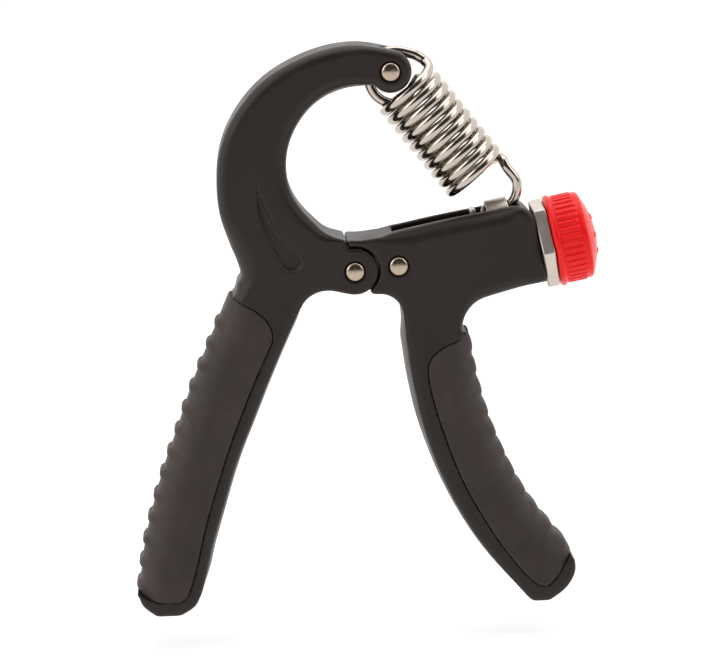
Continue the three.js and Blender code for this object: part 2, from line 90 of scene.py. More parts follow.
HEAD_RADIUS = 2.5
HEAD_SEAT = 10.7
HEAD_TOP = 12.0
SEAT_CLEARANCE = 0.22
HINGE_SLOT_RADIUS = 7.2
TONGUE_HALF = 1.5
CLEVIS_HALF = 2.2
CLEVIS_RADIUS = 9.1  # of the slot round the spring's loop
LOOP_CENTRE = 2.9  # from the anchor pin, along the spring
LOOP_SWING = math.radians(28)  # how far the loop turns in its slot
RECESS_DEPTH = 0.9
STOP_X = -3.9  # where the handles meet above the hinge
LEFT_CROWN = 1.2  # the legs' inner sides stand out this far between their faces
RIGHT_CROWN = 1.4
PAD_RIM = 0.4
OPENING_CENTRE = (0.6, 123.9)  # the middle of the opening in the C-shaped arm
OPENING_RADIUS = 20.3
OPENING_SHIFT = 0.7  # its moulded edge lies this much higher than the middle of the arm
ARM_TIP = 0.45  # the end of the arm next to the collar
ARM_TOP = 12.9
ARM_BASE = -9.2
ARM_CORNER = 5.0
FLOOR_LEVEL = -9.7  # low enough for the right foot when the handles are squeezed
FLOOR_HALF = 12.0  # in metres

# ---- the camera ----
CAMERA_YAW, CAMERA_ELEVATION, CAMERA_ROLL = (math.radians(angle) for angle in (-2.2, 9.0, 1.9))
CAMERA_DISTANCE = 0.9  # in metres
CAMERA_TARGET = (-1.85, 0, 76.2)
CAMERA_LENS = 163.6  # focal length, with a sensor 36 wide

SLOT_HALF = 5.5
SLOT_INNER = -33.8
SLOT_OUTER = -2.9
SLOT_FLOOR = -7.4

SPINDLE_RADIUS = 2.5
THREAD_PITCH = 1.5
THREAD_DEPTH = 0.45
WASHER_RADIUS = 8.0
WASHER_SEAT = -0.6
COLLAR_ACROSS_FLATS = 22.2
COLLAR_START = 0.6
COLLAR_END = 4.0
COLLAR_TURN = math.radians(37)
KNOB_START = 4.3
KNOB_LENGTH = 12.2
KNOB_RIM_RADIUS = 12.8
KNOB_RIB_RADIUS = 12.35
KNOB_ROOT_RADIUS = 11.98
KNOB_BAND_RADIUS = 12.1
KNOB_DOME_RADIUS = 23.0
KNOB_RIBS = 40
CARRIAGE = -8.6
SADDLE_LENGTH = 6.2
SADDLE_WALL = 0.9
SADDLE_HALF = 5.2
SADDLE_CREST = 15.1
SADDLE_FOOT = -6.9

WIRE = 1.4
COIL_RADIUS = 8.45
COIL_PITCH = 3.2
COIL_TURNS = 10
COIL_START = 6.8
COIL_OFFSET = 0.35
LOOP_RADIUS = 7.3
HOOK_RADIUS = 6.9
HOOK_HEIGHT = 18.2


def middle(node):
    low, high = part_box(node)
    return (np.array(low) + np.array(high)) / 2 / MM


joints = {joint["name"]: joint for joint in frame["joints"]}
PIVOT = middle("pivot_rivet")
ANCHOR = middle("spring_anchor_pin")
SECOND_RIVET = middle("tongue_rivet")
SCREW_ORIGIN = np.array(joints["knob_turn"]["pos_m"]) / MM
ALONG_SCREW = np.array(joints["knob_turn"]["axis"])
ALONG_SCREW /= np.linalg.norm(ALONG_SCREW)
ABOVE_SCREW = np.cross(ALONG_SCREW, (0, 1, 0))
CREST = SCREW_ORIGIN + CARRIAGE * ALONG_SCREW + (SADDLE_CREST - SADDLE_WALL / 2) * ABOVE_SCREW
AIM = (CREST - ANCHOR) / np.linalg.norm(CREST - ANCHOR)  # along the spring
OUTWARD = np.array([-AIM[2], 0, AIM[0]])
FRONT = np.array([0, -1, 0])


# ---- fields: signed distances in mm, negative inside ----
def smoothstep(value, low, high):
    t = np.clip((value - low) / (high - low), 0, 1)
    return t * t * (3 - 2 * t)


def mix(a, b, share):
    return a + (b - a) * share


def smooth_max(a, b, width):
    share = np.clip(0.5 + 0.5 * (a - b) / width, 0, 1)
    return mix(b, a, share) + width * share * (1 - share)


def section(node, y):
    """The segments where a CAD node's surface crosses the plane at y, as an array of two [x, z] ends each."""
    mesh = frame["nodes"][node].data
    mesh.calc_loop_triangles()
    points = np.empty(len(mesh.vertices) * 3)
    mesh.vertices.foreach_get("co", points)
    corners_of = np.empty(len(mesh.loop_triangles) * 3, dtype=int)
    mesh.loop_triangles.foreach_get("vertices", corners_of)
    triangles = (points.reshape(-1, 3) / MM)[corners_of.reshape(-1, 3)]
    beyond = triangles[:, :, 1] > y
    crossing = beyond.any(axis=1) & ~beyond.all(axis=1)
    segments = []
    for triangle, side in zip(triangles[crossing], beyond[crossing]):
        ends = []
        for a, b in ((0, 1), (1, 2), (2, 0)):
            if side[a] != side[b]:
                share = (y - triangle[a, 1]) / (triangle[b, 1] - triangle[a, 1])
                ends.append(mix(triangle[a], triangle[b], share)[[0, 2]])
        segments.append(ends)
    return np.array(segments)


def chain(points):
    """The segments of an open line of points."""
    points = np.array(points)
    return np.stack([points[:-1], points[1:]], axis=1)


def loop(points):
    return chain(list(points) + [points[0]])


def nearest(segments, x, z):
    """Distance to the nearest of the segments."""
    best = np.full(np.broadcast(x, z).shape, 1e6)
    for (ax, az), (bx, bz) in segments:
        dx, dz = bx - ax, bz - az
        share = np.clip(((x - ax) * dx + (z - az) * dz) / (dx * dx + dz * dz + 1e-9), 0, 1)
        best = np.minimum(best, (x - ax - share * dx) ** 2 + (z - az - share * dz) ** 2)
    return np.sqrt(best)


def within(segments, x, z):
    """True inside the closed outlines that the segments make."""
    inside = np.zeros(np.broadcast(x, z).shape, dtype=bool)
    for (ax, az), (bx, bz) in segments:
        if az != bz:
            inside ^= ((az > z) != (bz > z)) & (x < ax + (z - az) * (bx - ax) / (bz - az))
    return inside


def outline_field(segments, x, z):
    return np.where(within(segments, x, z), -1, 1) * nearest(segments, x, z)


def rounded(outline, depth, half, edge):
    """An outline's field extruded to half on both sides, its rims rounded with radius edge."""
    side = outline + edge
    face = np.abs(depth) - half + edge
    return np.minimum(np.maximum(side, face), 0) + np.hypot(np.maximum(side, 0), np.maximum(face, 0)) - edge


def neighbour(field, step, axis):
    index = np.clip(np.arange(field.shape[axis]) + step, 0, field.shape[axis] - 1)
    return np.take(field, index, axis)


def softened(field, passes):
    """A 2-D field with its small facets smoothed out."""
    for _ in range(passes):
        for axis in (0, -1):
            field = 0.25 * neighbour(field, 1, axis) + 0.5 * field + 0.25 * neighbour(field, -1, axis)
    return field


def from_centre(centre, x, z):
    return np.hypot(x - centre[0], z - centre[2])


def rivet_seat(centre, x, y, z):
    """A shallow round seat for a rivet's head on both faces."""
    across = from_centre(centre, x, z) - HEAD_RADIUS - SEAT_CLEARANCE
    return np.maximum(across, HEAD_SEAT - 0.6 - np.abs(y))


def screw_coordinates(x, z):
    """Distance along the screw from the collar's inner face, and height above the screw's axis."""
    dx, dz = x - SCREW_ORIGIN[0], z - SCREW_ORIGIN[2]
    return dx * ALONG_SCREW[0] + dz * ALONG_SCREW[2], dx * ABOVE_SCREW[0] + dz * ABOVE_SCREW[2]


def box_field(*spans):
    """Field of a box, given as (coordinate, low, high) three times."""
    return np.maximum.reduce(np.broadcast_arrays(*[
        np.maximum(low - value, value - high) for value, low, high in spans]))


# ---- meshes ----
def smoothed_line(points, steps):
    """A centripetal Catmull-Rom curve through points of any dimension, with steps to a span."""
    points = [np.array(point, dtype=float) for point in points]
    points = [2 * points[0] - points[1]] + points + [2 * points[-1] - points[-2]]
    line = []
    for p0, p1, p2, p3 in zip(points, points[1:], points[2:], points[3:]):
        t1 = np.linalg.norm(p1 - p0) ** 0.5
        t2 = t1 + np.linalg.norm(p2 - p1) ** 0.5
        t3 = t2 + np.linalg.norm(p3 - p2) ** 0.5
        for t in np.linspace(t1, t2, steps, endpoint=False):
            a1 = mix(p0, p1, t / t1)
            a2 = mix(p1, p2, (t - t1) / (t2 - t1))
            a3 = mix(p2, p3, (t - t2) / (t3 - t2))
            b1 = mix(a1, a2, t / t2)
            b2 = mix(a2, a3, (t - t1) / (t3 - t1))
            line.append(mix(b1, b2, (t - t1) / (t2 - t1)))
    line.append(points[-2])
    return np.array(line)


def piece(name, points, faces, material, body, replaced):
    """A smooth-shaded object from points in mm, riding on a body in place of the CAD nodes it replaces."""
    mesh = bpy.data.meshes.new(name)
    mesh.from_pydata((np.array(points) * MM).tolist(), [], [list(map(int, face)) for face in faces])
    mesh.validate()
    mesh.materials.append(material)
    mesh.shade_smooth()
    thing = bpy.data.objects.new(name, mesh)
    bpy.context.scene.collection.objects.link(thing)
    if body:
        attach(thing, body)
    if replaced:
        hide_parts(*replaced)
    return thing


class Grid:
    """A sampling grid over a box in mm, with open x, y and z arrays for working out fields."""

    def __init__(self, low, high, step):
        margin = 4 * step
        self.low = np.array(low) - margin
        self.step = step
        axes = [np.arange(a, b + margin, step) for a, b in zip(self.low, high)]
        self.x, self.y, self.z = np.meshgrid(*axes, indexing="ij", sparse=True)

    def surface(self, field):
        """Points and quads of the field's zero surface, facing out."""
        band = 3 * self.step
        volume = openvdb.FloatGrid(band)
        volume.copyFromArray(np.clip(field, -band, band).astype(np.float32))
        points, quads = volume.convertToQuads()
        points = self.low + points * self.step
        corners = points[quads]
        turn = np.einsum("ij,ij->i", corners[:, 0], np.cross(corners[:, 1], corners[:, 2])).sum()
        return points, quads if turn > 0 else quads[:, ::-1]


def node_grid(node, step, *others):
    boxes = [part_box(name) for name in (node, *others)]
    low = np.min([box[0] for box in boxes], axis=0) / MM
    high = np.max([box[1] for box in boxes], axis=0) / MM
    return Grid(low, high, step)


def on_screw(points):
    """Points given as (along the screw, y, above the screw), placed in the frame."""
    points = np.array(points)
    return (SCREW_ORIGIN + points[:, :1] * ALONG_SCREW + points[:, 1:2] * np.array([0, 1, 0])
            + points[:, 2:] * ABOVE_SCREW)


def revolved(profile, sides, ripple=None):
    """Points and faces of a profile of (radius, along) turned about the first axis.
    The profile starts and ends on the axis. ripple(radius, along, angle) may change the radius."""
    profile = np.array(profile, dtype=float)
    inner = profile[1:-1]
    angles = np.arange(sides) * 2 * math.pi / sides
    points = [(profile[0][1], 0, 0)]
    for radius, along in inner:
        for angle in angles:
            r = ripple(radius, along, angle) if ripple else radius
            points.append((along, r * math.cos(angle), r * math.sin(angle)))
    points.append((profile[-1][1], 0, 0))
    last = len(points) - 1
    faces = []
    for i in range(sides):
        j = (i + 1) % sides
        faces.append((0, 1 + j, 1 + i))
        for row in range(len(inner) - 1):
            a, b = 1 + row * sides, 1 + (row + 1) * sides
            faces.append((a + i, a + j, b + j, b + i))
        faces.append((last, last - sides + i, last - sides + j))
    return np.array(points), faces


def turned_ring(profile, sides):
    """Points and faces of a closed profile of (radius, along) turned about the first axis."""
    profile = np.array(profile, dtype=float)
    rows = len(profile)
    points = [(along, radius * math.cos(angle), radius * math.sin(angle))
              for radius, along in profile
              for angle in np.arange(sides) * 2 * math.pi / sides]
    faces = []
    for row in range(rows):
        a, b = row * sides, ((row + 1) % rows) * sides
        faces += [(a + i, a + (i + 1) % sides, b + (i + 1) % sides, b + i) for i in range(sides)]
    return np.array(points), faces


def rim(points, radius, steps=4):
    """A line of (radius, along) corners with each inner corner rounded."""
    points = [np.array(point, dtype=float) for point in points]
    line = [points[0]]
    for before, corner, after in zip(points, points[1:], points[2:]):
        into, out = before - corner, after - corner
        reach = min(radius, 0.45 * np.linalg.norm(into), 0.45 * np.linalg.norm(out))
        start = corner + into / np.linalg.norm(into) * reach
        end = corner + out / np.linalg.norm(out) * reach
        for i in range(steps + 1):
            t = i / steps
            line.append((1 - t) ** 2 * start + 2 * t * (1 - t) * corner + t * t * end)
    line.append(points[-1])
    return line


def swept_wire(path, radius, sides):
    """Points and faces of a round wire along a path, its ends cut square with a small chamfer."""
    tangents = np.gradient(path, axis=0)
    tangents /= np.linalg.norm(tangents, axis=1)[:, None]
    across = np.cross(tangents[0], (0.3, 1, 0.2))
    rings = []
    for i, centre in enumerate(path):
        across -= tangents[i] * across.dot(tangents[i])
        across /= np.linalg.norm(across)
        other = np.cross(tangents[i], across)
        r = radius * (0.82 if i in (0, len(path) - 1) else 1)
        angles = np.arange(sides) * 2 * math.pi / sides
        rings.append(centre + r * (np.cos(angles)[:, None] * across + np.sin(angles)[:, None] * other))
    points = np.concatenate([*rings, [path[0]], [path[-1]]])
    faces = []
    count = len(rings)
    for row in range(count - 1):
        a, b = row * sides, (row + 1) * sides
        faces += [(a + i, a + (i + 1) % sides, b + (i + 1) % sides, b + i) for i in range(sides)]
    first, last = count * sides, count * sides + 1
    faces += [(first, (i + 1) % sides, i) for i in range(sides)]
    end = (count - 1) * sides
    faces += [(last, end + i, end + (i + 1) % sides) for i in range(sides)]
    return points, faces


# ---- materials ----
class Look:
    """A Principled material whose nodes are added one call at a time."""

    def __init__(self, name, colour, roughness, metallic=0.0, **inputs):
        self.material = bpy.data.materials.new(name)
        self.material.use_nodes = True
        self.nodes = self.material.node_tree.nodes
        self.links = self.material.node_tree.links
        self.shader = self.nodes["Principled BSDF"]
        self.place = self.nodes.new("ShaderNodeTexCoord").outputs["Object"]
        self.height = None
        self.set("Base Color", (*colour, 1))
        self.set("Roughness", roughness)
        self.set("Metallic", metallic)
        for socket, value in inputs.items():
            self.set(socket.replace("_", " "), value)

    def set(self, socket, value):
        self.shader.inputs[socket].default_value = value

    def stretched(self, scale):
        node = self.nodes.new("ShaderNodeMapping")
        node.inputs["Scale"].default_value = scale
        self.links.new(self.place, node.inputs["Vector"])
        return node.outputs["Vector"]

    def noise(self, per_mm, detail=3.0, scale=(1, 1, 1)):
        """Noise whose features are 1 / per_mm mm across."""
        node = self.nodes.new("ShaderNodeTexNoise")
        node.inputs["Scale"].default_value = per_mm / MM
        node.inputs["Detail"].default_value = detail
        self.links.new(self.stretched(scale), node.inputs["Vector"])
        return node.outputs["Fac"]

    def spread(self, source, low, high, from_low=0.3, from_high=0.7):
        node = self.nodes.new("ShaderNodeMapRange")
        spans = {"From Min": from_low, "From Max": from_high, "To Min": low, "To Max": high}
        for socket, value in spans.items():
            node.inputs[socket].default_value = value
        self.links.new(source, node.inputs["Value"])
        return node.outputs["Result"]

    def vary(self, socket, source, low, high, from_low=0.3, from_high=0.7):
        self.links.new(self.spread(source, low, high, from_low, from_high), self.shader.inputs[socket])

    def vary_colour(self, source, first, second, from_low=0.3, from_high=0.7):
        node = self.nodes.new("ShaderNodeMix")
        node.data_type = "RGBA"
        node.inputs["A"].default_value = (*first, 1)
        node.inputs["B"].default_value = (*second, 1)
        self.links.new(self.spread(source, 0, 1, from_low, from_high), node.inputs["Factor"])
        self.links.new(node.outputs["Result"], self.shader.inputs["Base Color"])

    def bump(self, source, height_mm):
        """Adds a relief of that height."""
        node = self.nodes.new("ShaderNodeBump")
        node.inputs["Strength"].default_value = 1
        node.inputs["Distance"].default_value = height_mm * MM
        self.links.new(source, node.inputs["Height"])
        if self.height:
            self.links.new(self.height, node.inputs["Normal"])
        self.height = node.outputs["Normal"]
        self.links.new(self.height, self.shader.inputs["Normal"])


def moulded_plastic():
    look = Look("moulded_body", (0.0155, 0.0092, 0.0064), 0.44, Specular_IOR_Level=0.32)
    look.vary_colour(look.noise(0.06, 4), (0.0135, 0.0080, 0.0055), (0.0180, 0.0110, 0.0078))
    look.vary("Roughness", look.noise(0.12, 4), 0.4, 0.52)
    look.bump(look.noise(2.6, 2), 0.025)
    look.bump(look.noise(0.05, 1), 0.25)
    return look.material


def overmoulded_rubber():
    look = Look("grip_rubber", (0.034, 0.0235, 0.0185), 0.68, Specular_IOR_Level=0.36, Sheen_Weight=0.06)
    look.vary_colour(look.noise(0.08, 5), (0.028, 0.0190, 0.0145), (0.037, 0.0255, 0.0200))
    look.vary("Roughness", look.noise(0.3, 3), 0.6, 0.76)
    look.bump(look.noise(3.2, 3), 0.03)
    look.bump(look.noise(0.07, 2), 0.12)
    return look.material


def spring_chrome():
    look = Look("spring_chrome", (0.48, 0.425, 0.37), 0.12, 1.0)
    look.vary("Roughness", look.noise(0.4, 4), 0.08, 0.18)
    look.bump(look.noise(1.6, 3, (1, 1, 0.3)), 0.005)
    return look.material


def rivet_nickel():
    look = Look("rivet_nickel", (0.42, 0.335, 0.26), 0.27, 1.0)
    look.vary("Roughness", look.noise(1.2, 4), 0.14, 0.3)
    look.bump(look.noise(2.2, 3), 0.012)
    return look.material


def plated_steel():
    look = Look("collar_steel", (0.58, 0.525, 0.47), 0.34, 0.8)
    look.vary("Roughness", look.noise(0.25, 4), 0.28, 0.4)
    look.bump(look.noise(0.5, 3, (3, 0.4, 1)), 0.004)
    return look.material


def machined_steel():
    look = Look("inner_steel", (0.36, 0.35, 0.33), 0.36, 1.0)
    look.vary("Roughness", look.noise(0.6, 4), 0.3, 0.46)
    look.bump(look.noise(2, 3, (2, 0.5, 1)), 0.01)
    return look.material


def machined_bronze():
    look = Look("bronze", (0.5, 0.33, 0.14), 0.34, 1.0)
    look.vary("Roughness", look.noise(0.6, 4), 0.28, 0.45)
    look.bump(look.noise(2, 3), 0.01)
    return look.material


def red_plastic():
    look = Look("knob_red", (0.80, 0.011, 0.012), 0.4, Specular_IOR_Level=0.18, Subsurface_Weight=0.06)
    look.set("Subsurface Radius", (1.2 * MM, 0.3 * MM, 0.2 * MM))
    look.vary_colour(look.noise(0.1, 4), (0.76, 0.009, 0.011), (0.86, 0.014, 0.015))
    look.vary("Roughness", look.noise(0.3, 4), 0.2, 0.32)
    look.bump(look.noise(0.25, 2), 0.03)
    return look.material


MOULDED = moulded_plastic()
RUBBER = overmoulded_rubber()
CHROME = spring_chrome()
NICKEL = rivet_nickel()
PLATED = plated_steel()
STEEL = machined_steel()
BRONZE = machined_bronze()
RED = red_plastic()


# ---- handles ----
def whole_outline(handle, pad, x, z):
    """The outline of a handle and its pad taken together, and the field of the handle alone."""
    handle_lines = section(handle, -0.72 * BODY_HALF)
    pad_lines = section(pad, -0.85 * PAD_HALF)
    handle_field = outline_field(handle_lines, x, z)
    pad_field = outline_field(pad_lines, x, z)
    handle_mid, pad_mid = handle_lines.mean(axis=1), pad_lines.mean(axis=1)
    outer = [segment for segment, (mx, mz) in zip(handle_lines, handle_mid)
             if outline_field(pad_lines, mx, mz) > 0.45]
    outer += [segment for segment, (mx, mz) in zip(pad_lines, pad_mid)
              if outline_field(handle_lines, mx, mz) > 0.45]
    holes = (PIVOT, SECOND_RIVET, ANCHOR)
    kept = [segment for segment in outer
            if min(math.hypot(*(np.mean(segment, axis=0) - centre[[0, 2]])) for centre in holes) > 3]
    inside = (handle_field < 0) | (pad_field < 0.35)
    for centre in holes:
        near = from_centre(centre, x, z) < 3
        inside |= near & (handle == owner_of(centre))
    return softened(np.where(inside, -1, 1) * nearest(kept, x, z), 1), handle_field


def owner_of(centre):
    return "right_handle" if centre is SECOND_RIVET else "left_handle"


# Pads: the front boundary and the outer side, as [x, z].
LEFT_FRONT = [(-53.5, 4.2), (-51.6, 5.8), (-50.5, 8.4), (-48.6, 14.4), (-45.9, 25), (-42, 37.1),
              (-38.3, 47.5), (-34.9, 56), (-30.2, 66.7), (-26.6, 74.2), (-25.5, 76.6), (-25.7, 79.4),
              (-27.4, 82.4), (-31.3, 85.6), (-36.8, 89), (-39.5, 90.7)]
LEFT_FOOT = [(-68, 8.4), (-65.2, 6.7), (-62, 4.9), (-58, 4.1), (-53.5, 4.2)]
LEFT_OUTER = [(-35.3, 92), (-37.5, 87.2), (-41.6, 78), (-47.8, 64), (-52.7, 51), (-57.4, 38.6), (-62.7, 20.4),
              (-64.9, 7.6), (-65.6, 2)]
RIGHT_FRONT = [(34, 80.5), (30, 77.6), (25.3, 74.4), (20.6, 71.8), (18.1, 69.4), (17.3, 65.6), (18.9, 56.7),
               (22.1, 45.8), (26, 35.2), (31.8, 24), (37.4, 15), (44.4, 6.4), (46.4, 4.9)]
RIGHT_FOOT = [(46.4, 4.9), (48.6, 4.7), (50.2, 6), (55.4, 12.4), (58, 15.6)]
RIGHT_OUTER = [(58.2, 10), (55.6, 13.8), (50.7, 20), (44, 29.3), (38.8, 39.4), (34.4, 50.5), (31.4, 61.3),
               (29.5, 72.2), (28.6, 80)]


def side_field(line, x, z, sign):
    """Signed distance to an open line that the piece lies to one side of, and the length run along it."""
    best = np.full(np.broadcast(x, z).shape, 1e6)
    field = np.zeros_like(best)
    run = np.zeros_like(best)
    done = 0.0
    for (ax, az), (bx, bz) in chain(line):
        dx, dz = bx - ax, bz - az
        length = math.hypot(dx, dz)
        share = np.clip(((x - ax) * dx + (z - az) * dz) / length ** 2, 0, 1)
        distance = np.hypot(x - ax - share * dx, z - az - share * dz)
        closer = distance < best
        best = np.where(closer, distance, best)
        field = np.where(closer, sign * np.sign((x - ax) * dz - (z - az) * dx) * distance, field)
        run = np.where(closer, done + share * length, run)
        done += length
    return field, run


def ribs(run, first, pitch, count, width, skew):
    """Rounded ribs of unit height at an even pitch along a run."""
    index = np.clip(np.round((run - first) / pitch), 0, count - 1)
    offset = (run - first - index * pitch) / (width / 2)
    offset = np.where(offset < 0, offset * (1 + skew), offset / (1 + skew))
    return np.sqrt(np.clip(1 - offset ** 2, 0, 1))


def core_field(handle_field, y):
    return rounded(handle_field, y, CORE_HALF, CORE_EDGE)


def teardrop(x, z):
    """The sunk teardrop beside the C-shaped arm: a round head with a tail that bends up to a point."""
    field = None
    tail = smoothed_line([(-19.4, 98.6), (-22.4, 102.4), (-25.2, 107.6), (-27.2, 113.4), (-28.3, 119.6)], 6)
    for i, (cx, cz) in enumerate(tail):
        share = i / (len(tail) - 1)
        ball = np.hypot(x - cx, z - cz) - mix(3.2, 0.15, share ** 0.85)
        field = ball if field is None else np.minimum(field, ball)
    return field


def crown(height, y):
    """How far a moulded side stands out between its front and back faces, for its draft."""
    return height * np.clip(1 - (y / BODY_HALF) ** 2, 0, 1)


def opening_shift(x, z):
    """How far the opening's edge is taken back at the top and built up at the bottom."""
    dx, dz = x - OPENING_CENTRE[0], z - OPENING_CENTRE[1]
    radius = np.hypot(dx, dz)
    near = smoothstep(radius, OPENING_RADIUS + 6, OPENING_RADIUS + 2) * smoothstep(dx, 8, -2)
    near = near * smoothstep(from_centre(PIVOT, x, z), 13, 19)
    return OPENING_SHIFT * near * dz / np.maximum(radius, 1)


def arm_end(u, v):
    """The arm's end with its rounded upper corner, in the screw's coordinates."""
    du, dv = u - ARM_TIP + ARM_CORNER, v - ARM_TOP + ARM_CORNER
    corner = np.hypot(np.maximum(du, 0), np.maximum(dv, 0)) + np.minimum(np.maximum(du, dv), 0) - ARM_CORNER
    return np.maximum(corner, np.maximum(-12 - u, ARM_BASE - v))


def loop_slot(x, z):
    """The slot round the spring's upper loop, as far as the loop swings about its pin."""
    field = None
    aim = math.atan2(AIM[2], AIM[0])
    for turn in np.linspace(0, LOOP_SWING, 5):
        cx = ANCHOR[0] + LOOP_CENTRE * math.cos(aim - turn)
        cz = ANCHOR[2] + LOOP_CENTRE * math.sin(aim - turn)
        disc = np.hypot(x - cx, z - cz) - CLEVIS_RADIUS
        field = disc if field is None else np.minimum(field, disc)
    return field


def left_handle():
    grid = node_grid("left_handle", HANDLE_STEP)
    x, y, z = grid.x, grid.y, grid.z
    outline, handle_field = whole_outline("left_handle", "left_grip_pad", x, z)
    seat = pad_region("left", x, z)

    edge = mix(LEG_EDGE, C_ARM_EDGE, smoothstep(z, 96, 112))
    edge = mix(SHOULDER_EDGE, edge, smoothstep(np.hypot(x + 36, z - 97), 6, 15))
    edge = mix(2.0, edge, smoothstep(from_centre(ANCHOR, x, z), 6, 16))
    edge = mix(HINGE_EDGE, edge, smoothstep(from_centre(PIVOT, x, z), 9, 13))
    inner_side = smoothstep(seat, 0.3, 2.5) * smoothstep(z, 90, 80) * smoothstep(z, 3, 14)
    outline = outline - crown(LEFT_CROWN * inner_side, y) + opening_shift(x, z)
    field = np.maximum(rounded(outline, y, BODY_HALF, edge), SEAM - seat)
    field = np.minimum(field, core_field(handle_field, y))

    recess = np.maximum(teardrop(x, z), BODY_HALF - RECESS_DEPTH - np.abs(y))
    field = smooth_max(field, -recess, 0.3)
    for centre in (PIVOT, ANCHOR):
        field = smooth_max(field, -rivet_seat(centre, x, y, z), 0.25)
    hinge_slot = np.maximum(from_centre(PIVOT, x, z) - HINGE_SLOT_RADIUS, np.abs(y) - TONGUE_HALF - SEAM)
    clevis = np.maximum(loop_slot(x, z), np.abs(y) - CLEVIS_HALF)
    field = np.maximum(field, -hinge_slot)
    field = smooth_max(field, -clevis, 0.5)
    points, quads = grid.surface(field)
    piece("left_handle_moulding", points, quads, MOULDED, "left_side", ["left_handle"])


def right_handle():
    grid = node_grid("right_handle", HANDLE_STEP)
    x, y, z = grid.x, grid.y, grid.z
    outline, handle_field = whole_outline("right_handle", "right_grip_pad", x, z)
    seat = pad_region("right", x, z)
    u, v = screw_coordinates(x, z)
    outline = np.minimum(outline, arm_end(u, v))

    edge = mix(LEG_EDGE, 3.0, smoothstep(x, 22, 34) * smoothstep(z, 80, 86))
    edge = mix(edge, ARM_EDGE, smoothstep(v, 0, 6) * smoothstep(u, -44, -34))
    edge = mix(edge, 1.8, smoothstep(u, -9, -2))
    edge = mix(HINGE_EDGE, edge, smoothstep(from_centre(PIVOT, x, z), 9, 13))
    inner_side = smoothstep(seat, 0.3, 2.5) * smoothstep(x, 24, 20) * smoothstep(z, 82, 74)
    inner_side += smoothstep(seat, 0.3, 1.5) * smoothstep(z, 44, 38) * smoothstep(x, 46, 42)
    inner_side *= smoothstep(z, 3, 14)
    outline = outline - crown(mix(0.9, RIGHT_CROWN, smoothstep(z, 40, 58)) * np.clip(inner_side, 0, 1), y)
    field = np.maximum(rounded(outline, y, BODY_HALF, edge), SEAM - seat)
    field = np.minimum(field, core_field(handle_field, y))
    stop = box_field((x, STOP_X, STOP_X + 2), (y, -BODY_HALF + 0.8, BODY_HALF - 0.8), (z, 101.9, 103))
    field = np.minimum(field, stop)

    slot = box_field((u, SLOT_INNER, SLOT_OUTER), (y, -SLOT_HALF, SLOT_HALF), (v, SLOT_FLOOR, 20))
    run_out = box_field((u, SLOT_INNER - 4.5, SLOT_INNER + 1), (y, -SLOT_HALF, SLOT_HALF), (v, 10.6, 20))
    ramp = (v - 10.6) * 0.9 + (u - SLOT_INNER + 4.5) * 0.3
    field = smooth_max(field, -np.minimum(slot, np.maximum(run_out, -ramp)), 0.35)
    bore = np.maximum(np.hypot(y, v) - SPINDLE_RADIUS - 0.6, np.abs(u) - 6)
    bore = np.minimum(bore, np.maximum(np.hypot(y, v) - WASHER_RADIUS - 0.3, WASHER_SEAT - u))
    field = np.maximum(field, -bore)
    field = smooth_max(field, -rivet_seat(SECOND_RIVET, x, y, z), 0.25)
    pocket = np.maximum(np.abs(z - PIVOT[2] - 0.5) - 6.2, x - SECOND_RIVET[0] - 4.6)
    field = np.maximum(field, -np.maximum(pocket, np.abs(y) - TONGUE_HALF - SEAM))
    points, quads = grid.surface(field)
    piece("right_handle_moulding", points, quads, MOULDED, "right_side", ["right_handle"])


PADS = {
    "left": {"front": LEFT_FRONT, "foot": LEFT_FOOT, "outer": LEFT_OUTER, "sign": 1},
    "right": {"front": RIGHT_FRONT, "foot": RIGHT_FOOT, "outer": RIGHT_OUTER, "sign": 1},
}
RIBS = {
    "left": {"height": 0.85, "shape": {"first": 12.0, "pitch": 6.42, "count": 13, "width": 2.7, "skew": 0.0}},
    "right": {"height": 0.5, "shape": {"first": 7.5, "pitch": 6.2, "count": 11, "width": 4.4, "skew": 0.3}},
}


def pad_region(side, x, z):
    """The outline that a pad takes up on the handle's faces, carried on past its outer side."""
    pad = PADS[side]
    line = list(smoothed_line(pad["front"], 4)) + list(smoothed_line(pad["foot"], 4))
    far = {"left": [(-80, 8.4), (-80, 98)], "right": [(70, 15.6), (70, 88)]}[side]
    if side == "left":
        line = list(smoothed_line(pad["foot"], 4)) + list(smoothed_line(pad["front"], 4))[1:] + far[::-1]
    else:
        line = list(smoothed_line(pad["front"], 4)) + list(smoothed_line(pad["foot"], 4))[1:] + far
    return outline_field(loop(line), x, z)


def grip_pad(side):
    handle, node = side + "_handle", side + "_grip_pad"
    grid = node_grid(node, PAD_STEP)
    x, y, z = grid.x, grid.y, grid.z
    handle_field = outline_field(section(handle, -0.72 * BODY_HALF), x, z)
    region = softened(pad_region(side, x, z), 1)
    pad = PADS[side]
    outer_side, run = side_field(smoothed_line(pad["outer"], 10), x, z, pad["sign"])
    fade = 1 - smoothstep(np.abs(y), 5, 9.5)
    lifted = outer_side - RIBS[side]["height"] * fade * ribs(run, **RIBS[side]["shape"])
    field = smooth_max(rounded(region, y, PAD_HALF, PAD_RIM), rounded(lifted, y, PAD_HALF, 9.0), 0.5)
    field = np.maximum(field, SEAM - core_field(handle_field, y))
    points, quads = grid.surface(field)
    piece(node + "_moulding", points, quads, RUBBER, "%s_side" % side, [node])


left_handle()
right_handle()
grip_pad("left")
grip_pad("right")


# ---- rivets and the hinge's inner pieces ----
def along_y(points, centre):
    """Points turned about the first axis, laid along Y through a centre."""
    points = np.array(points)
    return np.stack([points[:, 1] + centre[0], points[:, 0] + centre[1], points[:, 2] + centre[2]], axis=1)


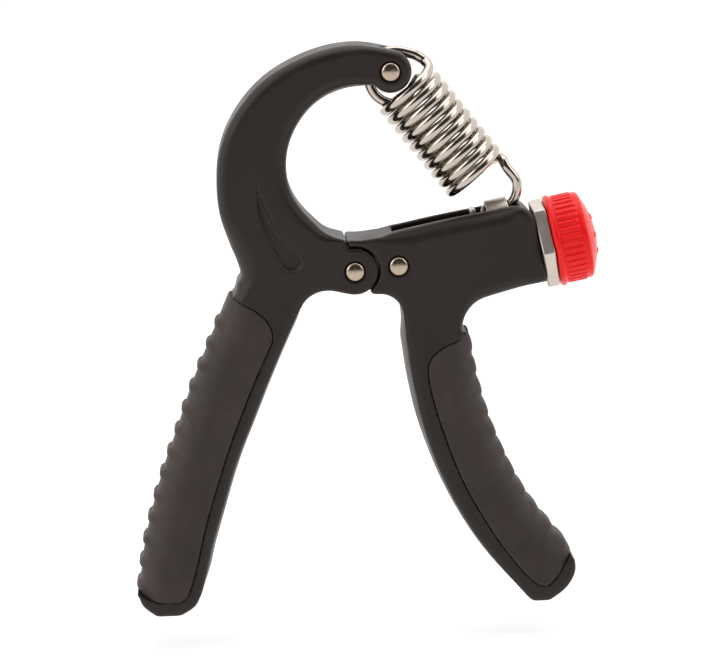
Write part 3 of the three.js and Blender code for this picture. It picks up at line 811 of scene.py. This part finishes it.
def rivet(name, node, centre, radius):
    """A pin with a domed head on each face."""
    dome = [(HEAD_RADIUS * math.cos(t), HEAD_SEAT + 0.45 + (HEAD_TOP - HEAD_SEAT - 0.45) * math.sin(t))
            for t in np.linspace(0, math.pi / 2, 12)]
    under = HEAD_SEAT - 0.55
    half = [(radius, under), (HEAD_RADIUS - 0.12, under), (HEAD_RADIUS, HEAD_SEAT - 0.4)] + dome
    half[-1] = (0, HEAD_TOP)
    profile = [(r, -y) for r, y in reversed(half)] + half
    points, faces = revolved(profile, 64)
    faces = [face[::-1] for face in faces]
    body = "right_side" if centre is SECOND_RIVET else "left_side"
    piece(name, along_y(points, centre), faces, NICKEL, body, [node])


def anchor_bush():
    half = CLEVIS_HALF - 0.3
    profile = rim([(1.8, 0), (1.8, -half), (2.7, -half), (2.7, half), (1.8, half), (1.8, 0)], 0.25)[:-1]
    points, faces = turned_ring(profile, 48)
    piece("anchor_pin_bush", along_y(points, ANCHOR), faces, BRONZE, "upper_loop", ["anchor_bush"])


def hinge_tongue():
    grid = node_grid("hinge_tongue", 0.2)
    x, y, z = grid.x, grid.y, grid.z
    ends = [(PIVOT, 5.6), (SECOND_RIVET, 4.2)]
    share = np.clip((x - PIVOT[0]) / (SECOND_RIVET[0] - PIVOT[0]), 0, 1)
    axis_z = mix(PIVOT[2], SECOND_RIVET[2], share)
    axis_x = mix(PIVOT[0], SECOND_RIVET[0], share)
    outline = np.hypot(x - axis_x, z - axis_z) - mix(ends[0][1], ends[1][1], share)
    for centre in (PIVOT, SECOND_RIVET):
        outline = np.maximum(outline, 2.25 - from_centre(centre, x, z))
    points, quads = grid.surface(rounded(outline, y, TONGUE_HALF, 0.3))
    piece("hinge_tongue_plate", points, quads, STEEL, "right_side", ["hinge_tongue"])


rivet("pivot_rivet_turned", "pivot_rivet", PIVOT, 2.0)
rivet("tongue_rivet_turned", "tongue_rivet", SECOND_RIVET, 2.0)
rivet("anchor_pin_turned", "spring_anchor_pin", ANCHOR, 1.5)
anchor_bush()
hinge_tongue()


# ---- the screw, its collar and its knob ----
def spindle():
    """The screw: a plain journal, a running thread and a plain shank under the collar."""
    turns_from, turns_to = -30.2, -3.2
    stations = list(np.arange(turns_from, turns_to, THREAD_PITCH / 10))
    profile = [(0, SLOT_INNER + 0.3), (1.75, SLOT_INNER + 0.3), (1.9, SLOT_INNER + 0.5), (1.9, -31.3)]
    profile += [(SPINDLE_RADIUS, u) for u in stations]
    profile += [(SPINDLE_RADIUS, -2.9), (SPINDLE_RADIUS, 11.2), (2.2, 11.5), (0, 11.5)]

    def thread(radius, along, angle):
        if not turns_from <= along <= turns_to:
            return radius
        phase = (along / THREAD_PITCH - angle / (2 * math.pi)) % 1
        ends = min(1, (along - turns_from) / 1.2, (turns_to - along) / 1.2)
        return radius - THREAD_DEPTH * ends * (1 - abs(2 * phase - 1)) ** 0.8

    points, faces = revolved(profile, 48, thread)
    piece("adjusting_screw", on_screw(points), faces, STEEL, "knob", ["adjusting_spindle"])


def ring_on_screw(name, node, inner, outer, low, high, material, body):
    profile = rim([(inner, (low + high) / 2), (inner, low), (outer, low), (outer, high), (inner, high),
                   (inner, (low + high) / 2)], 0.2)[:-1]
    points, faces = turned_ring(profile, 64)
    piece(name, on_screw(points), faces, material, body, [node])


def hex_collar():
    """A hexagonal collar, its corners taken down by a cone on both faces."""
    reach = COLLAR_ACROSS_FLATS / 2 / math.cos(math.pi / 6)
    grid = Grid((COLLAR_START, -reach, -reach), (COLLAR_END, reach, reach), 0.2)
    u, y, v = grid.x, grid.y, grid.z
    flats = None
    for i in range(3):
        angle = COLLAR_TURN + math.pi / 2 + math.pi / 6 + i * math.pi / 3
        flat = np.abs(y * math.cos(angle) + v * math.sin(angle)) - COLLAR_ACROSS_FLATS / 2
        flats = flat if flats is None else smooth_max(flats, flat, 0.35)
    radius = np.hypot(y, v)
    half = (COLLAR_END - COLLAR_START) / 2
    faces = np.abs(u - COLLAR_START - half) - half
    cone = (radius + faces * 1.2 - reach + 0.3) / 1.56
    field = smooth_max(smooth_max(flats, faces, 0.3), cone, 0.25)
    field = smooth_max(field, SPINDLE_RADIUS + 0.3 - radius, 0.2)
    points, quads = grid.surface(field)
    piece("hex_collar_turned", on_screw(points), quads, PLATED, "knob", ["hex_collar"])


def knob():
    """A red knob: a bead at its rim, straight ribs, a smooth band and a shallow dome with small marks."""
    start, end = KNOB_START, KNOB_START + KNOB_LENGTH + 0.3
    ribs_from, ribs_to = start + 2.5, end - 5.3
    band_end = end - KNOB_BAND_RADIUS ** 2 / (2 * KNOB_DOME_RADIUS)
    bead = [(KNOB_RIM_RADIUS - 0.85 + 0.85 * math.sin(t), start + 1.0 - 0.95 * math.cos(t))
            for t in np.linspace(0.1, math.pi - 0.25, 12)]
    grip = [(KNOB_ROOT_RADIUS, u) for u in np.linspace(start + 2.15, ribs_to + 0.6, 26)]
    band = [(KNOB_BAND_RADIUS, u) for u in (ribs_to + 0.9, ribs_to + 1.1, band_end - 0.8, band_end - 0.4)]
    dome = [(r, end - r * r / (2 * KNOB_DOME_RADIUS)) for r in np.linspace(KNOB_BAND_RADIUS - 0.35, 0.3, 34)]
    profile = [(0, start + 0.15), (5.3, start + 0.15), (KNOB_RIM_RADIUS - 1.1, start)] + bead + grip + band
    profile += dome + [(0, end)]

    def ripple(radius, along, angle):
        if not ribs_from - 0.4 <= along <= ribs_to + 0.7 or radius < KNOB_ROOT_RADIUS - 0.01:
            return radius
        fade = min(1, (along - ribs_from + 0.4) / 0.4, (ribs_to + 0.7 - along) / 0.5)
        crest = smoothstep(math.cos(KNOB_RIBS * angle), -0.8, 0.6)
        return radius + (KNOB_RIB_RADIUS - KNOB_ROOT_RADIUS) * float(crest) * max(fade, 0)

    sides = KNOB_RIBS * 12
    points, faces = revolved(profile, sides, ripple)
    points[:, 0] += dome_marks(points, end)
    piece("adjusting_knob_moulding", on_screw(points), faces, RED, "knob", ["adjusting_knob"])


def dome_marks(points, end):
    """How far the dome is raised by a low ring of dots, which stands for the marks moulded on it."""
    radius = np.hypot(points[:, 1], points[:, 2])
    angle = np.arctan2(points[:, 2], points[:, 1])
    step = math.radians(60)
    turned = (angle + step / 2) % step - step / 2
    away = np.hypot(radius * np.cos(turned) - 5.6, radius * np.sin(turned))
    return np.where(points[:, 0] > end - 2.5, 0.3 * (1 - smoothstep(away, 0.6, 1.1)), 0) * (points[:, 0] > 0)


spindle()
ring_on_screw("spindle_inner_bush", "spindle_end_bush", 2.1, 5.1, SLOT_INNER + 0.3, -31.6,
              BRONZE, "right_side")
ring_on_screw("thrust_washer_turned", "thrust_washer", SPINDLE_RADIUS + 0.3, WASHER_RADIUS, -0.3, 0.3,
              STEEL, "knob")
ring_on_screw("knob_insert_turned", "knob_insert", SPINDLE_RADIUS + 0.3, 5, KNOB_START, 12,
              BRONZE, "knob")
hex_collar()
knob()


# ---- the carriage ----
def carriage():
    half = SADDLE_HALF - SADDLE_WALL - 0.3
    nut = Grid((-14.3, -half, -5.7), (-4.4, half, 5.6), 0.25)
    field = box_field((nut.x, -13.9, -4.8), (nut.y, -half + 0.4, half - 0.4), (nut.z, -5.3, 5.2)) - 0.4
    field = smooth_max(field, SPINDLE_RADIUS + 0.3 - np.hypot(nut.y, nut.z), 0.3)
    points, quads = nut.surface(field)
    piece("carriage_nut_block", on_screw(points), quads, STEEL, "carriage", ["carriage_nut"])

    plate = Grid((-16, -half, -5.7), (-14.6, half, 13.9), 0.2)
    edge = 0.25
    inner = half - edge
    field = box_field((plate.x, -15.75, -14.85), (plate.y, -inner, inner), (plate.z, -5.4, 13.6)) - edge
    field = smooth_max(field, SPINDLE_RADIUS + 0.3 - np.hypot(plate.y, plate.z), 0.3)
    points, quads = plate.surface(field)
    piece("carriage_guide_plate", on_screw(points), quads, PLATED, "carriage",
          ["guide_plate"])


def saddle():
    """A band bent round the nut and arched over the top."""
    start, end = CARRIAGE - SADDLE_LENGTH / 2, CARRIAGE + SADDLE_LENGTH / 2
    grid = Grid((start, -SADDLE_HALF, SADDLE_FOOT), (end, SADDLE_HALF, SADDLE_CREST), 0.16)
    u, y, v = grid.x, grid.y, grid.z
    middle_wall = SADDLE_HALF - SADDLE_WALL / 2
    springing = SADDLE_CREST - SADDLE_HALF
    arch = np.hypot(y, np.maximum(v - springing, 0)) - middle_wall
    floor = SADDLE_FOOT + SADDLE_WALL / 2 - v
    band = np.abs(smooth_max(arch, floor, 1.6)) - SADDLE_WALL / 2
    field = smooth_max(band, np.abs(u - CARRIAGE) - SADDLE_LENGTH / 2, 0.3)
    points, quads = grid.surface(field)
    piece("hook_saddle_band", on_screw(points), quads, PLATED, "carriage", ["hook_saddle"])


carriage()
saddle()


# ---- the spring ----
def arm_point(u, v):
    return SCREW_ORIGIN + u * ALONG_SCREW + v * ABOVE_SCREW


def on_spring(along, out, forward=0.0):
    return ANCHOR + along * AIM + out * OUTWARD + forward * FRONT


def coil_point(turn):
    angle = 2 * math.pi * turn
    return on_spring(COIL_START + COIL_PITCH * turn, COIL_OFFSET + COIL_RADIUS * math.cos(angle),
                     COIL_RADIUS * math.sin(angle))


def ring_points(centre, radius, from_degrees, to_degrees, count):
    return [centre + radius * np.array([math.cos(angle), 0, math.sin(angle)])
            for angle in np.radians(np.linspace(from_degrees, to_degrees, count))]


def spring():
    """One wire: the upper loop in the anchor's slot, the coil, and the hook under the saddle."""
    coil_end = COIL_START + COIL_PITCH * COIL_TURNS
    path = [on_spring(6.9, 5.7), on_spring(8.1, 2.1)]
    path += ring_points(on_spring(LOOP_CENTRE, 0), LOOP_RADIUS, 284, 80, 14)
    path += [on_spring(1.6, 8.1), on_spring(4.6, 9.1, 0.3), on_spring(6.3, 8.9, 2.4)]
    path += [coil_point(turn) for turn in np.linspace(0.11, COIL_TURNS - 0.12, 196)]
    path += [on_spring(coil_end + 0.3, COIL_OFFSET + 8.3, -2.2),
             on_spring(coil_end + 1.2, COIL_OFFSET + 8.3, -0.6),
             on_spring(coil_end + 2.6, COIL_OFFSET + 7.9)]
    path += ring_points(arm_point(CARRIAGE, HOOK_HEIGHT), HOOK_RADIUS, 18, -118, 12)
    points, faces = swept_wire(smoothed_line(path, 6), WIRE, 20)
    thing = piece("tension_spring", points, faces, CHROME, None,
                  ["spring_upper_turns", "spring_coil", "spring_lower_hook"])
    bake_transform(thing)


spring()


# ---- stage ----
def stage():
    floor = bpy.data.meshes.new("floor")
    level = FLOOR_LEVEL * MM
    corners = [(x * FLOOR_HALF, y * FLOOR_HALF, level) for x, y in ((-1, -1), (1, -1), (1, 1), (-1, 1))]
    floor.from_pydata(corners, [], [(0, 1, 2, 3)])
    look = Look("floor", (0.5, 0.5, 0.5), 0.9, Emission_Color=(1, 1, 1, 1), Emission_Strength=0.58)
    floor.materials.append(look.material)
    thing = bpy.data.objects.new("floor", floor)
    bpy.context.scene.collection.objects.link(thing)


def world():
    """A white tent, darker only towards the side that the camera is on."""
    tent = bpy.data.worlds.new("tent")
    tent.use_nodes = True
    nodes, links = tent.node_tree.nodes, tent.node_tree.links
    place = nodes.new("ShaderNodeTexCoord")
    toward = nodes.new("ShaderNodeVectorMath")
    toward.operation = "DOT_PRODUCT"
    toward.inputs[1].default_value = (0.12, -0.97, 0.2)
    links.new(place.outputs["Generated"], toward.inputs[0])
    spread = nodes.new("ShaderNodeMapRange")
    spread.interpolation_type = "SMOOTHSTEP"
    for socket, value in (("From Min", 0.1), ("From Max", 0.85), ("To Min", 1.3), ("To Max", 0.05)):
        spread.inputs[socket].default_value = value
    links.new(toward.outputs["Value"], spread.inputs["Value"])
    links.new(spread.outputs["Result"], nodes["Background"].inputs["Strength"])
    nodes["Background"].inputs["Color"].default_value = (1.0, 0.985, 0.97, 1)
    bpy.context.scene.world = tent


def area_light(name, place, target, size, power, colour=(1, 1, 1)):
    light = bpy.data.lights.new(name, "AREA")
    light.shape = "RECTANGLE"
    light.size, light.size_y = size
    light.energy = power
    light.color = colour
    thing = bpy.data.objects.new(name, light)
    thing.location = place
    thing.rotation_euler = (Vector(target) - Vector(place)).to_track_quat("-Z", "Y").to_euler()
    bpy.context.scene.collection.objects.link(thing)


def camera():
    lens = bpy.data.cameras.new("camera")
    lens.sensor_width = 36
    lens.lens = CAMERA_LENS
    lens.clip_start, lens.clip_end = 0.05, 60
    thing = bpy.data.objects.new("camera", lens)
    level = math.cos(CAMERA_ELEVATION)
    back = Vector((math.sin(CAMERA_YAW) * level, -math.cos(CAMERA_YAW) * level, math.sin(CAMERA_ELEVATION)))
    right = Vector((0, 0, 1)).cross(back).normalized()
    up = back.cross(right)
    turned_up = up * math.cos(CAMERA_ROLL) + right * math.sin(CAMERA_ROLL)
    turned_right = right * math.cos(CAMERA_ROLL) - up * math.sin(CAMERA_ROLL)
    place = Vector(CAMERA_TARGET) * MM + back * CAMERA_DISTANCE
    thing.matrix_world = Matrix((
        (turned_right.x, turned_up.x, back.x, place.x),
        (turned_right.y, turned_up.y, back.y, place.y),
        (turned_right.z, turned_up.z, back.z, place.z),
        (0, 0, 0, 1),
    ))
    bpy.context.scene.collection.objects.link(thing)
    bpy.context.scene.camera = thing


stage()
world()
middle_of_object = (0, 0, 0.08)
area_light("soft_left", (-0.9, -0.5, 0.7), middle_of_object, (0.7, 0.9), 4)
area_light("soft_right", (0.9, -0.3, 0.8), middle_of_object, (0.6, 0.9), 3)
area_light("soft_top", (0, 0.1, 1.3), middle_of_object, (1.2, 0.9), 5)
camera()
bpy.context.scene.view_settings.view_transform = "Standard"
